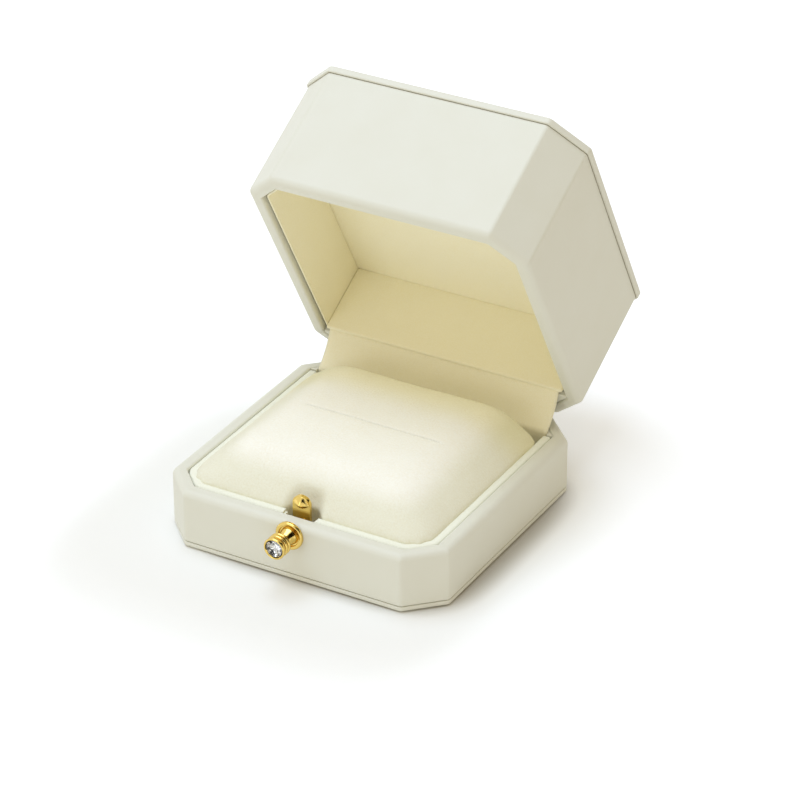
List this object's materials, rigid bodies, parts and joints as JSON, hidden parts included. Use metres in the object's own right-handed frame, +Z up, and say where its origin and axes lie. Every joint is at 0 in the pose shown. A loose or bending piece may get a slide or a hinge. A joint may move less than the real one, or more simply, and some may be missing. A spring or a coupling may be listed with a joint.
{
  "type": "ring box",
  "caption": "Octagonal hinged ring box with a push-button latch, a sprung lid and a padded suede insert with a ring slit.",
  "frame": {"origin": "on the ground, under the middle of the base", "axes": "+Z up, -Y is the front with the push button, +X is the right side seen from the front; the lid is open at rest"},
  "size_m": [0.066, 0.0999, 0.0836],
  "materials": {
    "leatherette": "matt off-white leatherette, fine grain",
    "suede": "cream microsuede, short nap",
    "lining": "warm cream microsuede on card",
    "collar": "cream microsuede on card",
    "gold_plate": "polished gold plate on brass",
    "crystal": "clear cut crystal",
    "steel": "nickel-plated pressed steel",
    "spring_steel": "spring steel wire",
    "shell": "moulded plastic, hidden",
    "board": "grey wood-pulp board, hidden",
    "foam": "closed-cell foam, hidden"
  },
  "bodies": {
    "base": {"base_shell": "shell", "base_leatherette": "leatherette", "bottom_board": "board", "bottom_board_leatherette": "leatherette", "collar_left": "collar", "collar_right": "collar", "pad_card": "board", "pad_foam": "foam", "pad_suede": "suede", "hinge_leaf_base": "steel", "hinge_pin": "steel", "hinge_spring": "spring_steel", "hinge_rivets_base": "steel", "hinge_flap": "lining", "button_bush": "gold_plate", "latch_bracket": "steel", "latch_pin": "steel", "latch_rivets": "steel", "latch_spring": "spring_steel"},
    "lid": {"lid_shell": "shell", "lid_leatherette": "leatherette", "top_board": "board", "top_board_leatherette": "leatherette", "lid_lining_band": "lining", "lid_lining_rear": "lining", "lid_lining_ceiling": "lining", "lid_filler_foam": "foam", "hinge_leaf_lid": "steel", "hinge_rivets_lid": "steel", "strike_plate": "gold_plate", "strike_rivets": "steel"},
    "button": {"button_stem": "gold_plate", "button_head": "gold_plate", "button_crystal": "crystal"},
    "latch": {"latch_hook": "gold_plate"}
  },
  "joints": [
    {"name": "lid_hinge", "type": "hinge", "parent": "base", "child": "lid", "pos_m": [0, 0.03225, 0.01115], "axis": [1, 0, 0], "range_deg": [0, 60.4], "stiffness_Nm_per_rad": 0.019, "springref_deg": -30.14, "deforming": ["hinge_flap", "hinge_spring"]},
    {"name": "button_press", "type": "slide", "parent": "base", "child": "button", "axis": [0, 1, 0], "range_m": [0, 0.001], "stiffness_N_per_m": 400, "springref_m": -0.001},
    {"name": "latch_swing", "type": "hinge", "parent": "base", "child": "latch", "pos_m": [0, -0.0268, 0.0051], "axis": [-1, 0, 0], "range_deg": [0, 11], "deforming": ["latch_spring"]}
  ],
  "couplings": [
    {"joint": "latch_swing", "follows": "button_press", "rad_per_m": 181.82}
  ]
}
